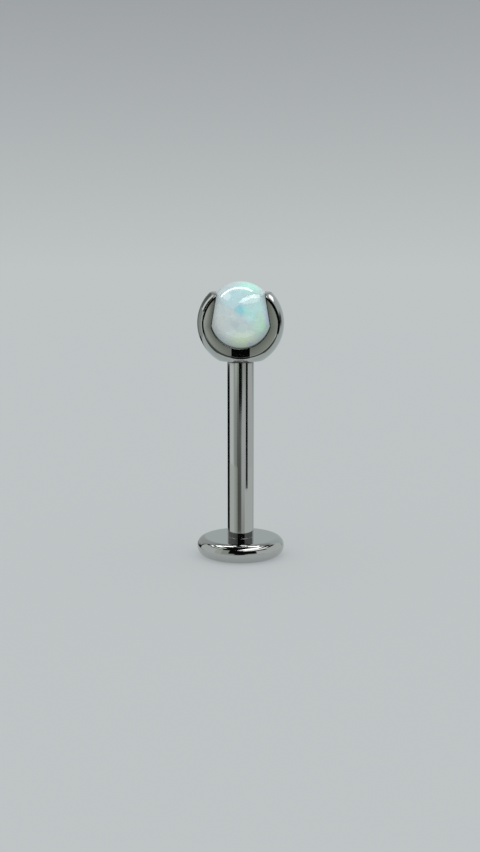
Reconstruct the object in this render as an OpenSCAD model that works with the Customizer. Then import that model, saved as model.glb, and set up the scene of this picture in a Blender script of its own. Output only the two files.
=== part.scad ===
// Labret stud: a disc and post in one piece, and a two-claw ball head that holds a round opal.
// The origin is the middle of the disc's underside, +Z runs up the post, and the front window faces -Y.

/* [Disc] */
// Diameter of the disc that lies against the skin
disc_d = 4.0; // [3.6:0.1:5]
// Thickness of the disc
disc_t = 0.87; // [0.86:0.01:1.2]
// Radius of the disc's upper edge, on the post's side
disc_upper_edge_r = 0.4; // [0.1:0.01:0.4]
// Radius of the disc's lower edge
disc_lower_edge_r = 0.45; // [0.1:0.01:0.45]

/* [Post] */
// Diameter of the post: 1.2 is 16 gauge
post_d = 1.2; // [1.0:0.1:1.6]
// Length of the post between the disc and the head
post_len = 8.07; // [5:0.01:12]
// Radius of the rounded edge round the post's top
post_edge_r = 0.04; // [0.02:0.01:0.08]
// Radius of the fillet between the post and the disc
post_fillet_r = 0.04; // [0.02:0.01:0.15]

/* [Pin] */
// Diameter of the pin that joins the head to the post
pin_d = 0.6; // [0.5:0.05:0.7]
// Length of the pin inside the post
pin_in_post = 3.0; // [2:0.1:4]
// Length of the pin inside the head
pin_in_head = 0.35; // [0.2:0.05:0.4]

/* [Claw head] */
// Diameter of the ball that the claws are cut from
ball_d = 3.9; // [3.8:0.05:4.2]
// Distance from the ball's centre down to the flat that sits on the post
seat_flat_drop = 1.68; // [1.62:0.01:1.8]
// Distance from the ball's centre up to the ends of the claws
claw_rise = 1.41; // [1.3:0.01:1.5]
// Radius of the arch that ends each claw, seen from the side
claw_arch_r = 5.0; // [3:0.1:8]
// Distance from the ball's centre to the middle flat of the front and back faces
face_depth = 1.19; // [1.1:0.01:1.3]
// Width of the middle flat
face_flat_w = 0.8; // [0.6:0.05:1]
// Angle by which each face falls back beside its middle flat
face_fall = 8.5; // [4:0.5:12]

/* [Window] */
// Radius of the window's round lower part
window_r = 1.33; // [1.25:0.01:1.36]
// Height of the window's centre over the ball's centre
window_lift = 0.25; // [0.2:0.01:0.3]
// Height at which the window's round part meets its straight sides, from the ball's centre
window_corner_z = -0.1; // [-0.2:0.01:0]
// Angle by which the claws lean in towards the opal
claw_lean = 9.5; // [6:0.5:12]

/* [Opal] */
// Diameter of the opal
opal_d = 3.0; // [2.9:0.05:3]
// Height of the opal's centre over the ball's centre
opal_lift = 0.37; // [0.34:0.01:0.4]

/* [Hidden] */

// Gaps between the pieces: the opal in its seat, the head over the post, the pin in its two bores
seat_gap = 0.03;
joint_gap = 0.03;
pin_gap = 0.02;
pin_end_gap = 0.1;
// Length by which a cutting or joining shape passes the surface that it meets
over = 0.5;

disc_r = disc_d / 2;
post_r = post_d / 2;
ball_r = ball_d / 2;
post_top = disc_t + post_len;
head_base = post_top + joint_gap;
ball_z = head_base + seat_flat_drop;
head_top = ball_z + claw_rise;
opal_z = ball_z + opal_lift;
pin_low = post_top - pin_in_post;
pin_high = head_base + pin_in_head;

// Window: half width where the straight sides begin, and between them at any height
corner_x = sqrt(pow(window_r, 2) - pow(window_lift - window_corner_z, 2));
function window_x(z) = corner_x - (z - window_corner_z) * tan(claw_lean);
// Face: its distance from the ball's centre where it has fallen back to the ball's side
face_side = face_depth - (ball_r - face_flat_w / 2) * tan(face_fall);

// Curves are true circles; this sets how finely they are shown
$fn = 96;

// What a rounded edge takes off a square corner, which points to +X and +Y from the arc's centre
module edge_waste(r) {
  difference() {
    square(r + over);
    circle(r);
  }
}

// Radial section of the disc: a flat top and bottom, with a round at each edge
module disc_section() {
  difference() {
    square([disc_r, disc_t]);
    translate([disc_r - disc_upper_edge_r, disc_t - disc_upper_edge_r]) edge_waste(disc_upper_edge_r);
    translate([disc_r - disc_lower_edge_r, disc_lower_edge_r]) mirror([0, 1]) edge_waste(disc_lower_edge_r);
  }
}

// Radial section of the post, with its rounded top edge and the fillet at its foot
module post_section() {
  difference() {
    square([post_r, post_top]);
    translate([post_r - post_edge_r, post_top - post_edge_r]) edge_waste(post_edge_r);
  }
  difference() {
    translate([post_r - over, disc_t - over]) square(over + post_fillet_r);
    translate([post_r + post_fillet_r, disc_t + post_fillet_r]) circle(post_fillet_r);
  }
}

// The disc and the post, turned in one piece, with a blind bore down the post's top
module disc_post() {
  color("#9a9d99")
  difference() {
    rotate_extrude() {
      disc_section();
      post_section();
    }
    translate([0, 0, pin_low - pin_end_gap]) cylinder(r = pin_d / 2 + pin_gap, h = pin_in_post + over);
  }
}

// The plain pin between the head and the post
module head_pin() {
  color("#8d908c")
  translate([0, 0, pin_low]) cylinder(d = pin_d, h = pin_high - pin_low);
}

// Plan of the head: a middle flat in front and behind, and sides that fall back from it
module face_plan() {
  flat_x = face_flat_w / 2;
  polygon([
    [-ball_r, -face_side], [-flat_x, -face_depth], [flat_x, -face_depth], [ball_r, -face_side],
    [ball_r, face_side], [flat_x, face_depth], [-flat_x, face_depth], [-ball_r, face_side]
  ]);
}

// Outline of the window, seen from the front, about the ball's centre: round below, open above,
// and between the two straight sides
module window_outline() {
  intersection() {
    union() {
      translate([0, window_lift]) circle(window_r);
      translate([-ball_r, window_lift]) square([ball_d, ball_r]);
    }
    polygon([
      [-window_x(-ball_r), -ball_r], [window_x(-ball_r), -ball_r],
      [window_x(ball_r), ball_r], [-window_x(ball_r), ball_r]
    ]);
  }
}

// The ball cut to two claws, with the opal's round seat, the window and the pin's blind bore
module claw_head() {
  color("#8f918c")
  difference() {
    intersection() {
      translate([0, 0, ball_z]) sphere(d = ball_d);
      translate([0, 0, head_base]) linear_extrude(ball_d) face_plan();
      translate([-ball_r, 0, head_top - claw_arch_r])
        rotate([0, 90, 0]) cylinder(r = claw_arch_r, h = ball_d);
    }
    translate([0, 0, opal_z]) sphere(r = opal_d / 2 + seat_gap);
    translate([0, ball_r, ball_z]) rotate([90, 0, 0]) linear_extrude(ball_d) window_outline();
    translate([0, 0, head_base - over]) cylinder(r = pin_d / 2 + pin_gap, h = over + pin_in_head + pin_gap);
  }
}

// The opal, a polished ball
module opal_ball() {
  color("#cfe3df")
  translate([0, 0, opal_z]) sphere(d = opal_d);
}

disc_post();
head_pin();
claw_head();
opal_ball();
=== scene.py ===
import math
import bmesh
import bpy
import numpy as np
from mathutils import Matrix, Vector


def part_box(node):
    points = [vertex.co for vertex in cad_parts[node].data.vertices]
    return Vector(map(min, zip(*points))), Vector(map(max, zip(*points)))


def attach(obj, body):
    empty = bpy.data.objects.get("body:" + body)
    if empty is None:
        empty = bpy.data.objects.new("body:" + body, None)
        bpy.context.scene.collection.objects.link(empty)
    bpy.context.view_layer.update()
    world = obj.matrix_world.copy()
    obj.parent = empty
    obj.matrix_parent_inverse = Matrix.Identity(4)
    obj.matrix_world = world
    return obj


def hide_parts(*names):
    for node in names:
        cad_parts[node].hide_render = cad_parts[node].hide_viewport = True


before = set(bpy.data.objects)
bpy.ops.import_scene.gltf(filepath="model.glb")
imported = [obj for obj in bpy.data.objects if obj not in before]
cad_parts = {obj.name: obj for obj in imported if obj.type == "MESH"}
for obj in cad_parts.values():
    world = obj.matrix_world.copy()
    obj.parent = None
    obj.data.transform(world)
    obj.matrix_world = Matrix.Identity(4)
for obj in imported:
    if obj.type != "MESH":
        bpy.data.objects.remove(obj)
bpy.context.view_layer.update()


# Camera. It stands five centimetres in front of the stud, a little above its head, and looks down
# at it by eight degrees. So near, the post draws in towards the disc and the disc's top shows.
MM = 0.001
camera_place_mm = (-0.03, -49.47, 13.07)
camera_tilt = 8.15
sensor_mm = 36
frame_long_px = 852
focal_px = 1100
nearest_seen_mm = 1
farthest_seen_mm = 2000

bpy.ops.object.camera_add(
    location=[place * MM for place in camera_place_mm],
    rotation=(math.radians(90 - camera_tilt), 0, 0),
)
camera = bpy.context.object
camera.data.sensor_width = sensor_mm
camera.data.lens = sensor_mm * focal_px / frame_long_px
camera.data.clip_start = nearest_seen_mm * MM
camera.data.clip_end = farthest_seen_mm * MM
bpy.context.scene.camera = camera
bpy.context.scene.view_settings.view_transform = "Standard"


# Disc and post. One bar of implant titanium, turned to a flat disc with a post standing on it, then
# tumbled and polished to a mirror. The lathe's rings are only just left under the polish.
# Everything is shaped in millimetres and brought to metres when it is finished.
disc_t = 0.87
upper_edge_r = 0.4
lower_edge_r = 0.45
post_r = 0.6
post_edge_r = 0.05
foot_fillet_r = 0.01
bore_r = 0.32
bore_depth = 3.1
turned_sides = 192
disc_edge_steps = 14
post_edge_steps = 8
foot_steps = 5
sharp_from = math.radians(40)
near = 0.01
up_enough = 0.9
disc_low, disc_high = (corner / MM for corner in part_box("disc_post"))
# The CAD's disc has facets, and this one stays inside the least that they reach
disc_r = min(-disc_low.x, disc_high.y)
post_top = disc_high.z


def select_where(mode, test):
    """Selects the faces, edges or verts of the shape being edited that pass the test, and no others."""
    bpy.ops.mesh.select_mode(type={"faces": "FACE", "edges": "EDGE", "verts": "VERT"}[mode])
    bpy.ops.mesh.select_all(action="DESELECT")
    mesh = bmesh.from_edit_mesh(bpy.context.object.data)
    for part in getattr(mesh, mode):
        part.select_set(test(part))
    mesh.select_flush_mode()
    bmesh.update_edit_mesh(bpy.context.object.data)


def on_ring(radius, height):
    """Gives a test for the edges that lie on a level ring about the post's axis."""
    return lambda edge: all(
        abs(vert.co.z - height) < near and abs(math.hypot(vert.co.x, vert.co.y) - radius) < near
        for vert in edge.verts
    )


def facing_up_at(height):
    """Gives a test for the level face at a height."""
    return lambda face: face.normal.z > up_enough and abs(face.calc_center_median().z - height) < near


def round_ring(radius, height, edge_r, segments):
    """Rounds the corner that runs round the piece at this radius and height."""
    select_where("edges", on_ring(radius, height))
    bpy.ops.mesh.bevel(offset=edge_r, segments=segments, affect="EDGES", clamp_overlap=False)


def apply_modifier(kind, **settings):
    """Adds a modifier to the active piece and applies it."""
    piece = bpy.context.object
    modifier = piece.modifiers.new(kind.lower(), kind)
    for name, value in settings.items():
        setattr(modifier, name, value)
    bpy.ops.object.modifier_apply(modifier=modifier.name)


def to_metres(name):
    """Names the active piece, and brings it from millimetres to metres with its place in its mesh."""
    piece = bpy.context.object
    piece.name = piece.data.name = name
    piece.scale = (MM, MM, MM)
    bpy.ops.object.transform_apply(location=True, rotation=True, scale=True)
    return piece


bpy.ops.object.select_all(action="DESELECT")
bpy.ops.mesh.primitive_cylinder_add(vertices=turned_sides, radius=disc_r, depth=disc_t)
bpy.ops.object.mode_set(mode="EDIT")
bpy.ops.transform.translate(value=(0, 0, disc_t / 2))
select_where("faces", facing_up_at(disc_t))
bpy.ops.mesh.inset(thickness=disc_r - post_r)
bpy.ops.mesh.extrude_region_move(TRANSFORM_OT_translate={"value": (0, 0, post_top - disc_t)})
bpy.ops.mesh.inset(thickness=post_r - bore_r)
bpy.ops.mesh.extrude_region_move(TRANSFORM_OT_translate={"value": (0, 0, -bore_depth)})
round_ring(disc_r, disc_t, upper_edge_r, disc_edge_steps)
round_ring(disc_r, 0, lower_edge_r, disc_edge_steps)
round_ring(post_r, disc_t, foot_fillet_r, foot_steps)
round_ring(post_r, post_top, post_edge_r, post_edge_steps)
bpy.ops.object.mode_set(mode="OBJECT")
bpy.ops.object.shade_smooth_by_angle(angle=sharp_from)
apply_modifier("WEIGHTED_NORMAL", keep_sharp=True, weight=100)
disc_and_post = to_metres("disc_and_post")


def linear(hex_colour):
    """Turns an sRGB hex colour into the linear one that a shader works in."""
    channels = [int(hex_colour[i:i + 2], 16) / 255 for i in (1, 3, 5)]
    return [c / 12.92 if c <= 0.04045 else ((c + 0.055) / 1.055) ** 2.4 for c in channels] + [1.0]


def add_node(tree, kind, feeds=(), stops=(), **settings):
    """Adds a node. Feeds gives each of its sockets a value, or the output that is linked to it. Stops
    are the places and colours of a colour ramp."""
    node = tree.nodes.new("ShaderNode" + kind)
    for name, value in settings.items():
        setattr(node, name, value)
    for index, (place, colour) in enumerate(stops):
        ramp = node.color_ramp.elements
        stop = ramp[index] if index < 2 else ramp.new(place)
        stop.position = place
        stop.color = colour
    for socket, value in dict(feeds).items():
        if isinstance(value, bpy.types.NodeSocket):
            tree.links.new(value, node.inputs[socket])
        else:
            node.inputs[socket].default_value = value
    return node


def new_material(name):
    """Makes a material with an empty node tree. A glow in it is found by the rays alone."""
    material = bpy.data.materials.new(name)
    material.cycles.emission_sampling = "NONE"
    material.use_nodes = True
    material.node_tree.nodes.clear()
    return material


def polished_titanium(name, turned):
    """Grade 23 titanium polished to a mirror: a plain middle grey, with nearly sharp reflections. A faint
    cloudiness of the polish comes from its roughness, and on turned work faint rings from the tool. Where
    the piece is marked as cut and shaded, the polish didn't reach, so the metal is matt, and there it is
    also painted near black, a painted shade for the seat and window under the opal."""
    cloud_mm = 0.9
    clear_polish = 0.05
    cloudy_polish = 0.1
    as_milled = 0.4
    ring_mm = 0.06
    ring_depth_mm = 0.01
    ring_left = 0.012
    material = new_material(name)
    tree = material.node_tree
    place = add_node(tree, "TexCoord").outputs["Object"]
    cloud = add_node(tree, "TexNoise", {"Vector": place, "Scale": 1 / (cloud_mm * MM), "Detail": 3.0})
    gloss = add_node(tree, "MapRange", {
        "Value": cloud.outputs["Fac"], "From Min": 0.3, "From Max": 0.7,
        "To Min": clear_polish, "To Max": cloudy_polish,
    })
    as_cut_and_shaded = add_node(tree, "Attribute", attribute_name="as_cut_and_shaded").outputs["Fac"]
    # Where marked, the colour turns near black: painted shade in the recesses under the opal
    colour = add_node(tree, "MixRGB", {0: as_cut_and_shaded, 1: linear("#c9cac8"), 2: linear("#383535")})
    matt = add_node(tree, "Mix", {0: as_cut_and_shaded, 2: gloss.outputs["Result"], 3: as_milled}, data_type="FLOAT")
    shader = add_node(tree, "BsdfPrincipled", {
        "Base Color": colour.outputs[0], "Metallic": 1.0, "Roughness": matt.outputs[0],
    })
    if turned:
        apart = add_node(tree, "SeparateXYZ", {"Vector": place})
        across = add_node(tree, "CombineXYZ", {"X": apart.outputs["X"], "Y": apart.outputs["Y"]})
        radius = add_node(tree, "VectorMath", {0: across.outputs[0]}, operation="LENGTH")
        along = add_node(tree, "Math", {0: radius.outputs["Value"], 1: apart.outputs["Z"]}, operation="ADD")
        rings = add_node(tree, "TexNoise", {
            "W": along.outputs[0], "Scale": 1 / (ring_mm * MM), "Detail": 2.0,
        }, noise_dimensions="1D")
        bump = add_node(tree, "Bump", {
            "Height": rings.outputs["Fac"], "Strength": ring_left, "Distance": ring_depth_mm * MM,
        })
        tree.links.new(bump.outputs["Normal"], shader.inputs["Normal"])
    add_node(tree, "OutputMaterial", {"Surface": shader.outputs["BSDF"]})
    return material


disc_and_post.data.materials.clear()
disc_and_post.data.materials.append(polished_titanium("titanium_turned_and_polished", turned=True))
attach(disc_and_post, "root")
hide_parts("disc_post")


# Pin. A short titanium rod pressed into the head, which goes down the post's bore. It is drawn wire,
# left as it came, and the head and the post hide it.
def drawn_titanium():
    """Titanium wire as drawn: a duller grey than the polished work, with fine lines along its length."""
    line_mm = 0.03
    line_stretch = 0.02
    line_depth_mm = 0.005
    material = new_material("titanium_drawn_wire")
    tree = material.node_tree
    place = add_node(tree, "TexCoord").outputs["Object"]
    drawn = add_node(tree, "Mapping", {"Vector": place, "Scale": (1, 1, line_stretch)})
    lines = add_node(tree, "TexNoise", {
        "Vector": drawn.outputs[0], "Scale": 1 / (line_mm * MM), "Detail": 2.0,
    })
    dull = add_node(tree, "MapRange", {"Value": lines.outputs["Fac"], "To Min": 0.3, "To Max": 0.5})
    bump = add_node(tree, "Bump", {
        "Height": lines.outputs["Fac"], "Strength": 0.2, "Distance": line_depth_mm * MM,
    })
    shader = add_node(tree, "BsdfPrincipled", {
        "Base Color": linear("#b9b8b3"), "Metallic": 1.0, "Roughness": dull.outputs["Result"],
        "Normal": bump.outputs["Normal"],
    })
    add_node(tree, "OutputMaterial", {"Surface": shader.outputs["BSDF"]})
    return material


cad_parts["head_pin"].material_slots[0].material = drawn_titanium()


# Claw head. A titanium ball milled flat in front and behind, with a window cut through from the front
# and a round seat inside, so that two claws and the cup between them hold the opal. Its edges are
# rounded by tumbling, and its outside is polished like the post.
head_low, head_high = (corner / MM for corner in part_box("claw_head"))
ball_r = head_high.x
head_base = head_low.z
head_top = head_high.z
face_depth = head_high.y
right_through = 3 * ball_r
seat_flat_drop = 1.68
claw_arch_r = 5.0
face_flat_w = 0.8
face_fall = math.radians(8.5)
window_r = 1.33
window_lift = 0.25
window_corner_z = -0.1
claw_lean = math.radians(9.5)
seat_gap = 0.03
pin_bore_depth = 0.37
rim_round = 0.06
claw_rim_round = 0.05
window_round = 0.03
inner_round = 0.01
tip_round = 0.08
tip_start = 0.8
cut_edge = 0.008
polish_width = 0.3
polish_depth = 0.0036
claw_foot = 0.9
tumble_grain = 0.025
polish_passes = 6
ball_sides = 128
ball_rings = 64
arc_sides = 256
bore_sides = 64
opal_low, opal_high = (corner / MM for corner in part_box("opal_ball"))
opal_r = opal_high.x
opal_z = (opal_low.z + opal_high.z) / 2
ball_z = head_base + seat_flat_drop
corner_x = math.sqrt(window_r ** 2 - (window_lift - window_corner_z) ** 2)


def cut_off(place, normal):
    """Mills the piece flat: takes off what lies beyond a plane and closes the cut."""
    bpy.ops.mesh.select_all(action="SELECT")
    bpy.ops.mesh.bisect(plane_co=place, plane_no=normal, use_fill=True, clear_outer=True)


def combine(piece, tool, operation):
    """Cuts the piece with the tool, or keeps only what both hold, and removes the tool."""
    bpy.ops.object.select_all(action="DESELECT")
    piece.select_set(True)
    bpy.context.view_layer.objects.active = piece
    apply_modifier("BOOLEAN", object=tool, operation=operation, solver="EXACT")
    bpy.data.objects.remove(tool)


bpy.ops.object.select_all(action="DESELECT")
bpy.ops.mesh.primitive_uv_sphere_add(segments=ball_sides, ring_count=ball_rings, radius=ball_r,
                                     location=(0, 0, ball_z))
bpy.ops.object.transform_apply()
head = bpy.context.object
bpy.ops.object.mode_set(mode="EDIT")
cut_off((0, 0, head_base), (0, 0, -1))
for side in (-1, 1):
    cut_off((0, side * face_depth, ball_z), (0, side, 0))
    for hand in (-1, 1):
        cut_off((hand * face_flat_w / 2, side * face_depth, ball_z),
                (hand * math.sin(face_fall), side * math.cos(face_fall), 0))
bpy.ops.object.mode_set(mode="OBJECT")

bpy.ops.mesh.primitive_cylinder_add(vertices=arc_sides, radius=claw_arch_r, depth=right_through,
                                    location=(0, 0, head_top - claw_arch_r), rotation=(0, math.pi / 2, 0))
combine(head, bpy.context.object, "INTERSECT")
bpy.ops.mesh.primitive_uv_sphere_add(segments=ball_sides, ring_count=ball_rings, radius=opal_r + seat_gap,
                                     location=(0, 0, opal_z))
combine(head, bpy.context.object, "DIFFERENCE")
bpy.ops.mesh.primitive_cylinder_add(vertices=bore_sides, radius=bore_r, depth=2 * pin_bore_depth,
                                    location=(0, 0, head_base))
combine(head, bpy.context.object, "DIFFERENCE")

bpy.ops.mesh.primitive_cylinder_add(vertices=arc_sides, radius=window_r, depth=right_through,
                                    location=(0, 0, ball_z + window_lift), rotation=(math.pi / 2, 0, 0))
bpy.ops.object.transform_apply()
bpy.ops.object.mode_set(mode="EDIT")
cut_off((0, 0, ball_z + window_corner_z), (0, 0, 1))
select_where("faces", lambda face: face.normal.z > up_enough)
bpy.ops.mesh.extrude_region_move(TRANSFORM_OT_translate={"value": (0, 0, ball_r)})
bpy.ops.transform.resize(value=(1 - ball_r * math.tan(claw_lean) / corner_x, 1, 1))
bpy.ops.object.mode_set(mode="OBJECT")
combine(head, bpy.context.object, "DIFFERENCE")
apply_modifier("REMESH", mode="VOXEL", voxel_size=tumble_grain)


def rounded_and(first, second, edge_r):
    """Distance to what two shapes share, with their common edge rounded."""
    over_first = np.maximum(first + edge_r, 0)
    over_second = np.maximum(second + edge_r, 0)
    return np.minimum(-edge_r, np.maximum(first, second)) + np.hypot(over_first, over_second)


def outside_distance(points):
    """Distance to the head as it is before anything is cut into it, and the distance to the window."""
    x, y, z = points.T
    up = z - ball_z
    side_x, side_y = np.abs(x), np.abs(y)
    shape = np.sqrt(x ** 2 + y ** 2 + up ** 2) - ball_r
    fallen = (side_x - face_flat_w / 2) * math.sin(face_fall) + (side_y - face_depth) * math.cos(face_fall)
    round_part = np.hypot(x, up - window_lift) - window_r
    open_part = np.maximum(side_x - window_r, window_lift - up)
    lean = (side_x - corner_x + (up - window_corner_z) * math.tan(claw_lean)) * math.cos(claw_lean)
    window = np.maximum(np.minimum(round_part, open_part), lean)
    worn = polish_depth * np.clip(1 - window / polish_width, 0, 1) ** 2
    faces = np.maximum(side_y - face_depth, fallen) + worn
    on_claw = np.clip((up + claw_foot) / (2 * claw_foot), 0, 1)
    shape = rounded_and(shape, faces, rim_round + (claw_rim_round - rim_round) * on_claw)
    return rounded_and(shape, head_base - z, inner_round), window


def head_distance(points):
    """Distance from each point, in millimetres, to the finished head's surface: below zero inside."""
    x, y, z = points.T
    shape, window = outside_distance(points)
    seat = np.sqrt(x ** 2 + y ** 2 + (z - opal_z) ** 2) - opal_r - seat_gap
    arch = np.hypot(y, z - head_top + claw_arch_r) - claw_arch_r
    claw_end = rounded_and(arch, -window, tip_round)
    near_tip = np.clip((z - ball_z - tip_start) / (head_top - ball_z - tip_start), 0, 1)
    shape = rounded_and(shape, claw_end, window_round + (tip_round - window_round) * near_tip)
    shape = rounded_and(shape, -seat, inner_round)
    bore = np.maximum(np.hypot(x, y) - bore_r, z - head_base - pin_bore_depth)
    return rounded_and(shape, -bore, inner_round)


def head_slope(points):
    """Direction in which the distance grows fastest at each point, which is the surface's normal."""
    step = 0.0005
    slope = np.empty_like(points)
    for axis in range(3):
        ahead, behind = points.copy(), points.copy()
        ahead[:, axis] += step
        behind[:, axis] -= step
        slope[:, axis] = head_distance(ahead) - head_distance(behind)
    return slope / np.linalg.norm(slope, axis=1, keepdims=True)


# Each pass draws the head's even skin closer to the finished surface, with its rounded edges
points = np.empty(len(head.data.vertices) * 3)
head.data.vertices.foreach_get("co", points)
points = points.reshape(-1, 3)
for polish_pass in range(polish_passes):
    points -= head_distance(points)[:, None] * head_slope(points)
head.data.vertices.foreach_set("co", points.ravel())
# The seat and the window's walls lie inside the head's outer form, where the polish didn't reach.
# The mark makes them matt, and also paints them dark as a painted shade under the opal.
below_arch = claw_arch_r - np.hypot(points[:, 1], points[:, 2] - head_top + claw_arch_r)
as_cut_and_shaded = np.clip(-outside_distance(points)[0] / cut_edge, 0, 1) * np.clip(below_arch / tip_round, 0, 1)
head.data.attributes.new("as_cut_and_shaded", "FLOAT", "POINT").data.foreach_set("value", as_cut_and_shaded)
head.data.update()
bpy.ops.object.shade_smooth()
claw_head = to_metres("two_claw_head")
claw_head.data.normals_split_custom_set_from_vertices(head_slope(points))
claw_head.data.materials.clear()
claw_head.data.materials.append(polished_titanium("titanium_milled_and_polished", turned=False))
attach(claw_head, "root")
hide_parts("claw_head")


# Opal. A lab-grown white opal, ground round and polished, that the claws grip above its middle.
# It is milky, with soft flecks of colour that lie inside it.
FLECKS = (
    # colour's name, its middle from the opal's centre in mm, reach in mm, colour, strength
    # milk is the stone's milky patch, also made lighter as painted light on the opal's shaded left side
    ("milk", (-1.0, -1.0, -0.3), 1.2, "#d4dcd9", 0.75),
    ("pale_sky", (-0.2, -1.1, 0.8), 0.9, "#c4ebf0", 0.8),
    ("mint", (0.42, -0.6, 1.28), 0.85, "#c6fff0", 1.0),
    ("pale_mint", (0.75, -1.2, 0.4), 0.7, "#c6f0ee", 0.8),
    ("leaf", (0.95, -1.1, -0.4), 0.8, "#c4f0d6", 0.8),
    ("moss", (0.1, -1.0, -1.2), 1.0, "#d6ecd0", 0.9),
    ("aqua", (0.4, -1.42, 0.04), 0.5, "#bcf8f2", 0.6),
    ("sky", (0.0, -1.45, 0.27), 0.36, "#92dce8", 0.85),
    ("sea", (0.22, -1.4, 0.25), 0.25, "#b6f4ea", 0.8),
    ("lilac", (1.28, -0.75, -0.05), 0.55, "#d2d8ff", 0.9),
    ("violet", (0.42, -0.7, -1.35), 0.3, "#b4b8f2", 0.5),
    ("sea_behind", (-0.5, 1.2, 0.5), 0.8, "#a9e8de", 0.8),
    ("leaf_behind", (0.5, 1.2, -0.4), 0.7, "#bdeacd", 0.8),
)


def white_opal():
    """White opal, milky, under a glassy polish. The play-of-colour is a mosaic of soft flecks: every small
    grain of the stone takes the colour of the fleck that its middle lies in. Its even glow is painted light:
    an emission in the stone's colours that stands for the light coming in at the open back and top and
    scattering through, so the parts that the head shades stay light."""
    grain_mm = 0.34
    grain_softness = 0.5
    grain_pull = 0.38
    grain_tint = 0.1
    fleck_core = 0.1
    scatter_mm = 0.9
    # The stone's colour is dimmed to body_share, and a painted glow of emission makes up the rest
    body_share = 0.45
    glow = 0.56
    material = new_material("white_opal_polished")
    tree = material.node_tree
    place = add_node(tree, "TexCoord").outputs["Object"]
    grains = add_node(tree, "TexVoronoi", {
        "Vector": place, "Scale": 1 / (grain_mm * MM), "Smoothness": grain_softness,
    }, feature="SMOOTH_F1")
    stepped = add_node(tree, "Mix", {
        0: grain_pull, 4: place, 5: grains.outputs["Position"],
    }, data_type="VECTOR")
    tint = add_node(tree, "HueSaturation", {
        "Saturation": 0.16, "Color": grains.outputs["Color"], "Value": 1.2,
    })
    colour = add_node(tree, "MixRGB", {
        0: grain_tint, 1: linear("#c8dade"), 2: tint.outputs["Color"],
    }).outputs[0]
    for name, middle, reach, hue, strength in FLECKS:
        middle_place = (middle[0] * MM, middle[1] * MM, (middle[2] + opal_z) * MM)
        away = add_node(tree, "VectorMath", {0: stepped.outputs[1], 1: middle_place}, operation="DISTANCE")
        cover = add_node(tree, "MapRange", {
            "Value": away.outputs["Value"], "From Min": reach * MM, "From Max": fleck_core * reach * MM,
            "To Max": strength,
        }, interpolation_type="SMOOTHSTEP")
        colour = add_node(tree, "MixRGB", {
            0: cover.outputs["Result"], 1: colour, 2: linear(hue),
        }, label=name).outputs[0]
    body = add_node(tree, "VectorMath", {0: colour, "Scale": body_share}, operation="SCALE")
    shader = add_node(tree, "BsdfPrincipled", {
        "Base Color": body.outputs[0], "Roughness": 0.06, "IOR": 1.45,
        "Subsurface Weight": 1.0, "Subsurface Radius": (1.0, 1.0, 1.0), "Subsurface Scale": scatter_mm * MM,
        "Coat Weight": 1.0, "Coat Roughness": 0.03, "Coat IOR": 1.7,
        "Emission Color": colour, "Emission Strength": glow,
    }, subsurface_method="RANDOM_WALK")
    add_node(tree, "OutputMaterial", {"Surface": shader.outputs["BSDF"]})
    return material


grind_depth = 0.0025
grind_width = 0.9
bpy.ops.object.select_all(action="DESELECT")
bpy.ops.mesh.primitive_ico_sphere_add(subdivisions=7, radius=opal_r - grind_depth / 2,
                                      location=(0, 0, opal_z))
bpy.ops.object.transform_apply()
unevenness = bpy.data.textures.new("hand_grinding", "CLOUDS")
unevenness.noise_scale = grind_width
apply_modifier("DISPLACE", texture=unevenness, strength=grind_depth, mid_level=0.5)
bpy.ops.object.shade_smooth()
opal = to_metres("opal_bead")
opal.data.materials.clear()
opal.data.materials.append(white_opal())
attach(opal, "root")
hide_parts("opal_ball")


# Table and light. The stud stands by itself on a sheet of milky acrylic in a light tent. The tent is pale
# behind and dark on the camera's side, with a soft light at each side and two strip lights overhead.
table_r = 600
table_fades_from = 100
table_fades_to = 570
mirrored_within = 3.6
unmirrored_from = 6


def milky_acrylic():
    """Matt milky acrylic that glows a little, lit through from below, so the disc throws hardly a shadow.
    Far from the stud it fades into the backdrop. The metal mirrors only its nearest part, since the
    tent's own panels stand for the rest of it there."""
    glow = 0.57
    material = new_material("milky_acrylic_matt")
    tree = material.node_tree
    place = add_node(tree, "TexCoord").outputs["Object"]
    shader = add_node(tree, "BsdfPrincipled", {
        "Base Color": linear("#848787"), "Roughness": 0.6, "Specular IOR Level": 0.0,
        "Emission Color": linear("#c0c6c8"), "Emission Strength": glow,
    })
    away = add_node(tree, "VectorMath", {0: place}, operation="LENGTH")
    far = add_node(tree, "MapRange", {
        "Value": away.outputs["Value"], "From Min": table_fades_from * MM, "From Max": table_fades_to * MM,
    }, interpolation_type="SMOOTHSTEP")
    past = add_node(tree, "MapRange", {
        "Value": away.outputs["Value"], "From Min": mirrored_within * MM, "From Max": unmirrored_from * MM,
    }, interpolation_type="SMOOTHSTEP")
    ray = add_node(tree, "LightPath")
    unmirrored = add_node(tree, "Math", {0: past.outputs["Result"], 1: ray.outputs["Is Glossy Ray"]},
                          operation="MULTIPLY")
    backdrop = add_node(tree, "Emission", {"Color": linear("#bfc4c4"), "Strength": 1.0})
    faded = add_node(tree, "MixShader", {
        0: far.outputs["Result"], 1: shader.outputs[0], 2: backdrop.outputs[0],
    })
    clear = add_node(tree, "BsdfTransparent")
    shown = add_node(tree, "MixShader", {0: unmirrored.outputs[0], 1: faded.outputs[0], 2: clear.outputs[0]})
    add_node(tree, "OutputMaterial", {"Surface": shown.outputs[0]})
    return material


bpy.ops.object.select_all(action="DESELECT")
bpy.ops.mesh.primitive_circle_add(vertices=128, radius=table_r, fill_type="NGON")
table = to_metres("table")
table.data.materials.append(milky_acrylic())

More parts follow.
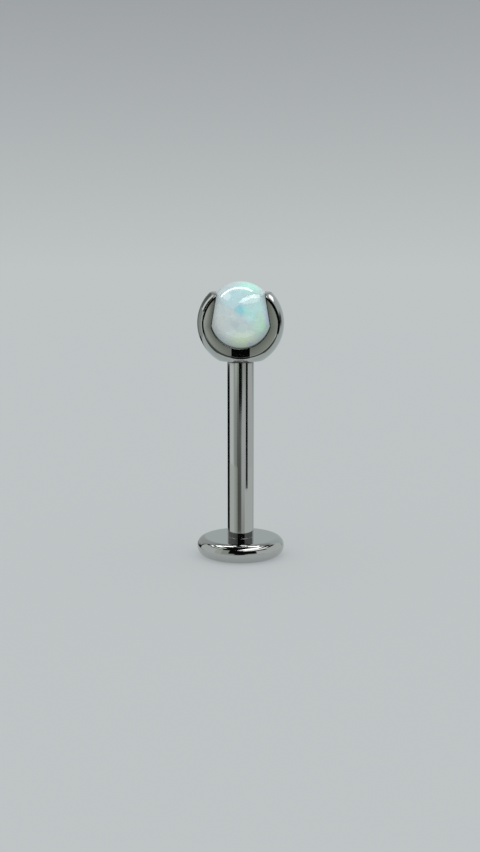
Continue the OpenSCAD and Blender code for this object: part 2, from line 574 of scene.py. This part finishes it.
# Cards and flags stand round the stud, low ones for the disc and high ones for the head. Only the polish
# shows them. Each is a strip of a cylinder about the stud.
CARDS = (
    # name, from and to in degrees round from the camera's side, distance, from and to in height in mm,
    # colour, strength
    ("card_left", -107, -58, 5, 0, 3.5, "#c3c9c7", 1.0),
    ("card_left_grey", -58, -42, 5, 0, 3.4, "#b4bab4", 1.0),
    ("card_left_end", -42, -26, 5, 0, 3.4, "#9fa59f", 1.0),
    ("card_right_low", 34, 65, 5, 0, 2.3, "#c3c9c7", 1.0),
    ("card_right", 65, 116, 5, 0, 3.3, "#c3c9c7", 1.0),
    ("flag_left", -116, -50, 8, 8.25, 10.95, "#050606", 1.0),
    ("flag_camera", -16, 12, 8, 8.3, 9.6, "#050606", 1.0),
    ("flag_right", 60, 116, 8, 8.25, 10.95, "#050606", 1.0),
    ("flag_disc_left", -122, -110, 5, 0, 1.0, "#050606", 1.0),
    ("card_side_left", -118, -108, 7.5, 8.2, 12.6, "#b0b5b2", 1.0),
    ("card_behind_left", -136, -118, 7.5, 8.2, 12.6, "#949a97", 1.0),
    ("card_far_left", -178, -136, 7.5, 8.9, 12.6, "#6c7270", 1.0),
    ("card_bright_left", -128, -119, 7.5, 12.6, 17, "#e4e8e6", 1.0),
    ("card_dark_left", -153, -128, 7.5, 12.6, 15.6, "#5d6462", 1.0),
    ("card_bright_right", 118.5, 133.5, 7.5, 14.7, 16.4, "#ffffff", 1.7),
)
card_sides = 180
second_reflection = 0.26


def card_paper(name, colour, strength):
    """A card's brightness in the tent's light, painted in as a glow, which only a first reflection shows in
    full.
    """
    material = new_material(name + "_paper")
    depth = add_node(material.node_tree, "LightPath").outputs["Ray Depth"]
    fade = add_node(material.node_tree, "MapRange", {
        "Value": depth, "From Min": 1.0, "From Max": 2.0, "To Min": strength, "To Max": second_reflection,
    })
    shader = add_node(material.node_tree, "Emission", {
        "Color": linear(colour), "Strength": fade.outputs["Result"],
    })
    add_node(material.node_tree, "OutputMaterial", {"Surface": shader.outputs[0]})
    return material


for name, first, last, distance, low, high, colour, strength in CARDS:
    bpy.ops.object.select_all(action="DESELECT")
    bpy.ops.mesh.primitive_cylinder_add(vertices=card_sides, radius=distance, depth=high - low,
                                        end_fill_type="NOTHING", location=(0, 0, (low + high) / 2))
    bpy.ops.object.transform_apply()
    bpy.ops.object.mode_set(mode="EDIT")
    select_where("faces", lambda face: not first < math.degrees(math.atan2(
        face.calc_center_median().x, -face.calc_center_median().y)) < last)
    bpy.ops.mesh.delete(type="FACE")
    bpy.ops.object.mode_set(mode="OBJECT")
    board = to_metres(name)
    board.data.materials.append(card_paper(name, colour, strength))
    board.visible_camera = board.visible_diffuse = board.visible_shadow = False

# What the polish mirrors of the tent, panel by panel, each laid over the ones before it.
PANELS = (
    # name, from and to in degrees round from the camera's side, from and to in degrees above the
    # table, how soft its edges are in degrees, colour, strength
    ("overhead", -200, 200, 42, 100, 6, "#979b9b", 1.0),
    ("walls", -125, 125, -100, 20, 20, "#c0c5c5", 1.0),
    ("wall_left", -112, -60, -30, 20, 22, "#d2d9d8", 1.0),
    ("front_low_left", -62, 0, -30, -4, 30, "#8c928c", 1.0),
    ("front_low_right", -4, 46, -30, -12.2, 5, "#9ea19d", 1.0),
    ("front_table_left", -48, 0, -6, 2, 3, "#c6cdc5", 1.0),
    ("front_table_right", 0, 44, -6, 2, 3, "#9da49b", 1.0),
    ("by_camera", -17.6, 17.6, -6, 2, 3, "#73786f", 1.0),
    ("by_camera_low", -17.6, 17.6, -6, -3.2, 1.6, "#878c86", 1.0),
    ("front", -106, 115, 0, 100, 2, "#0c0c0c", 1.0),
    ("back_left", -174, -130, -9, 42, 4, "#a6abaa", 1.0),
    ("side_left", -131, -116, -6, 42, 2, "#050606", 1.0),
    ("side_left_low", -165, -110, -14.5, -4.6, 2, "#0a0c0c", 1.0),
    ("side_right_edge", 116, 138, -4, 9, 9, "#3c403e", 1.0),
    ("side_right", 100, 125, -4, 42, 2, "#0c0c0c", 1.0),
    ("light_left", -122, -62, 44, 62, 5, "#ffffff", 1.2),
    ("light_right", 8, 92, 38, 60, 5, "#ffffff", 1.2),
    ("camera_shade", -33, 5, -18, -6, 14, "#565956", 1.0),
    ("camera", -15.5, 11.5, -7.5, 2, 0.8, "#050606", 1.0),
    ("stand", 45, 64.5, -12, 2, 1, "#050606", 1.0),
    ("ring_below", -105, 105, -50, -17, 4, "#4a4e4a", 1.0),
    ("dark_below", -27, 25, -60, -17, 3, "#060606", 1.0),
)

world = bpy.data.worlds.new("light_tent")
world.use_nodes = True
world.node_tree.nodes.clear()
world.cycles.sampling_method = "NONE"
bpy.context.scene.world = world
sky = world.node_tree
toward = add_node(sky, "TexCoord").outputs["Generated"]
apart = add_node(sky, "SeparateXYZ", {"Vector": toward})
forward = add_node(sky, "Math", {0: apart.outputs["Y"], 1: -1.0}, operation="MULTIPLY")
round_from_camera = add_node(sky, "Math", {
    0: apart.outputs["X"], 1: forward.outputs[0],
}, operation="ARCTAN2")
above_table = add_node(sky, "Math", {0: apart.outputs["Z"]}, operation="ARCSINE")
mirrored = linear("#b3bcbc")
for name, left, right, low, high, soft, colour, strength in PANELS:
    cover = 1.0
    for turn, inner, outer in ((round_from_camera, left + soft / 2, left - soft / 2),
                               (round_from_camera, right - soft / 2, right + soft / 2),
                               (above_table, low + soft / 2, low - soft / 2),
                               (above_table, high - soft / 2, high + soft / 2)):
        edge = add_node(sky, "MapRange", {
            "Value": turn.outputs[0], "From Min": math.radians(outer), "From Max": math.radians(inner),
        }, interpolation_type="SMOOTHSTEP")
        cover = add_node(sky, "Math", {0: cover, 1: edge.outputs["Result"]}, operation="MULTIPLY").outputs[0]
    light = [strength * channel for channel in linear(colour)]
    mirrored = add_node(sky, "MixRGB", {0: cover, 1: mirrored, 2: light}, label=name).outputs[0]

seen = add_node(sky, "LightPath")
backdrop = add_node(sky, "ValToRGB", {"Fac": apart.outputs["Z"]},
                    stops=((0.0, linear("#bfc4c4")), (0.25, linear("#9b9fa3"))))
soft_light = add_node(sky, "MapRange", {"Value": apart.outputs["Z"], "To Min": 0.75, "To Max": 1.05})
even = add_node(sky, "MixRGB", {
    0: seen.outputs["Is Diffuse Ray"], 1: mirrored, 2: soft_light.outputs["Result"],
})
shown = add_node(sky, "MixRGB", {
    0: seen.outputs["Is Camera Ray"], 1: even.outputs[0], 2: backdrop.outputs["Color"],
})
glow = add_node(sky, "Background", {"Color": shown.outputs[0], "Strength": 1.0})
add_node(sky, "OutputWorld", {"Surface": glow.outputs["Background"]})

STRIPS = (
    # name, ends on a level plane as (x, y), width and height in mm, strength
    ("strip_behind", (-80, 28), (35, 17), 14, 80, 3.0),
    ("strip_right", (-5, -68), (66, 22), 18, 72, 2.0),
)
for name, start, end, width, height, strength in STRIPS:
    length = math.dist(start, end)
    light = bpy.data.lights.new(name, "AREA")
    light.shape = "RECTANGLE"
    light.size = length * MM
    light.size_y = width * MM
    light.energy = strength * math.pi * light.size * light.size_y
    lamp = bpy.data.objects.new(name, light)
    lamp.location = [(start[0] + end[0]) / 2 * MM, (start[1] + end[1]) / 2 * MM, height * MM]
    lamp.rotation_euler = (0, 0, math.atan2(end[1] - start[1], end[0] - start[0]))
    lamp.visible_camera = lamp.visible_diffuse = False
    bpy.context.collection.objects.link(lamp)
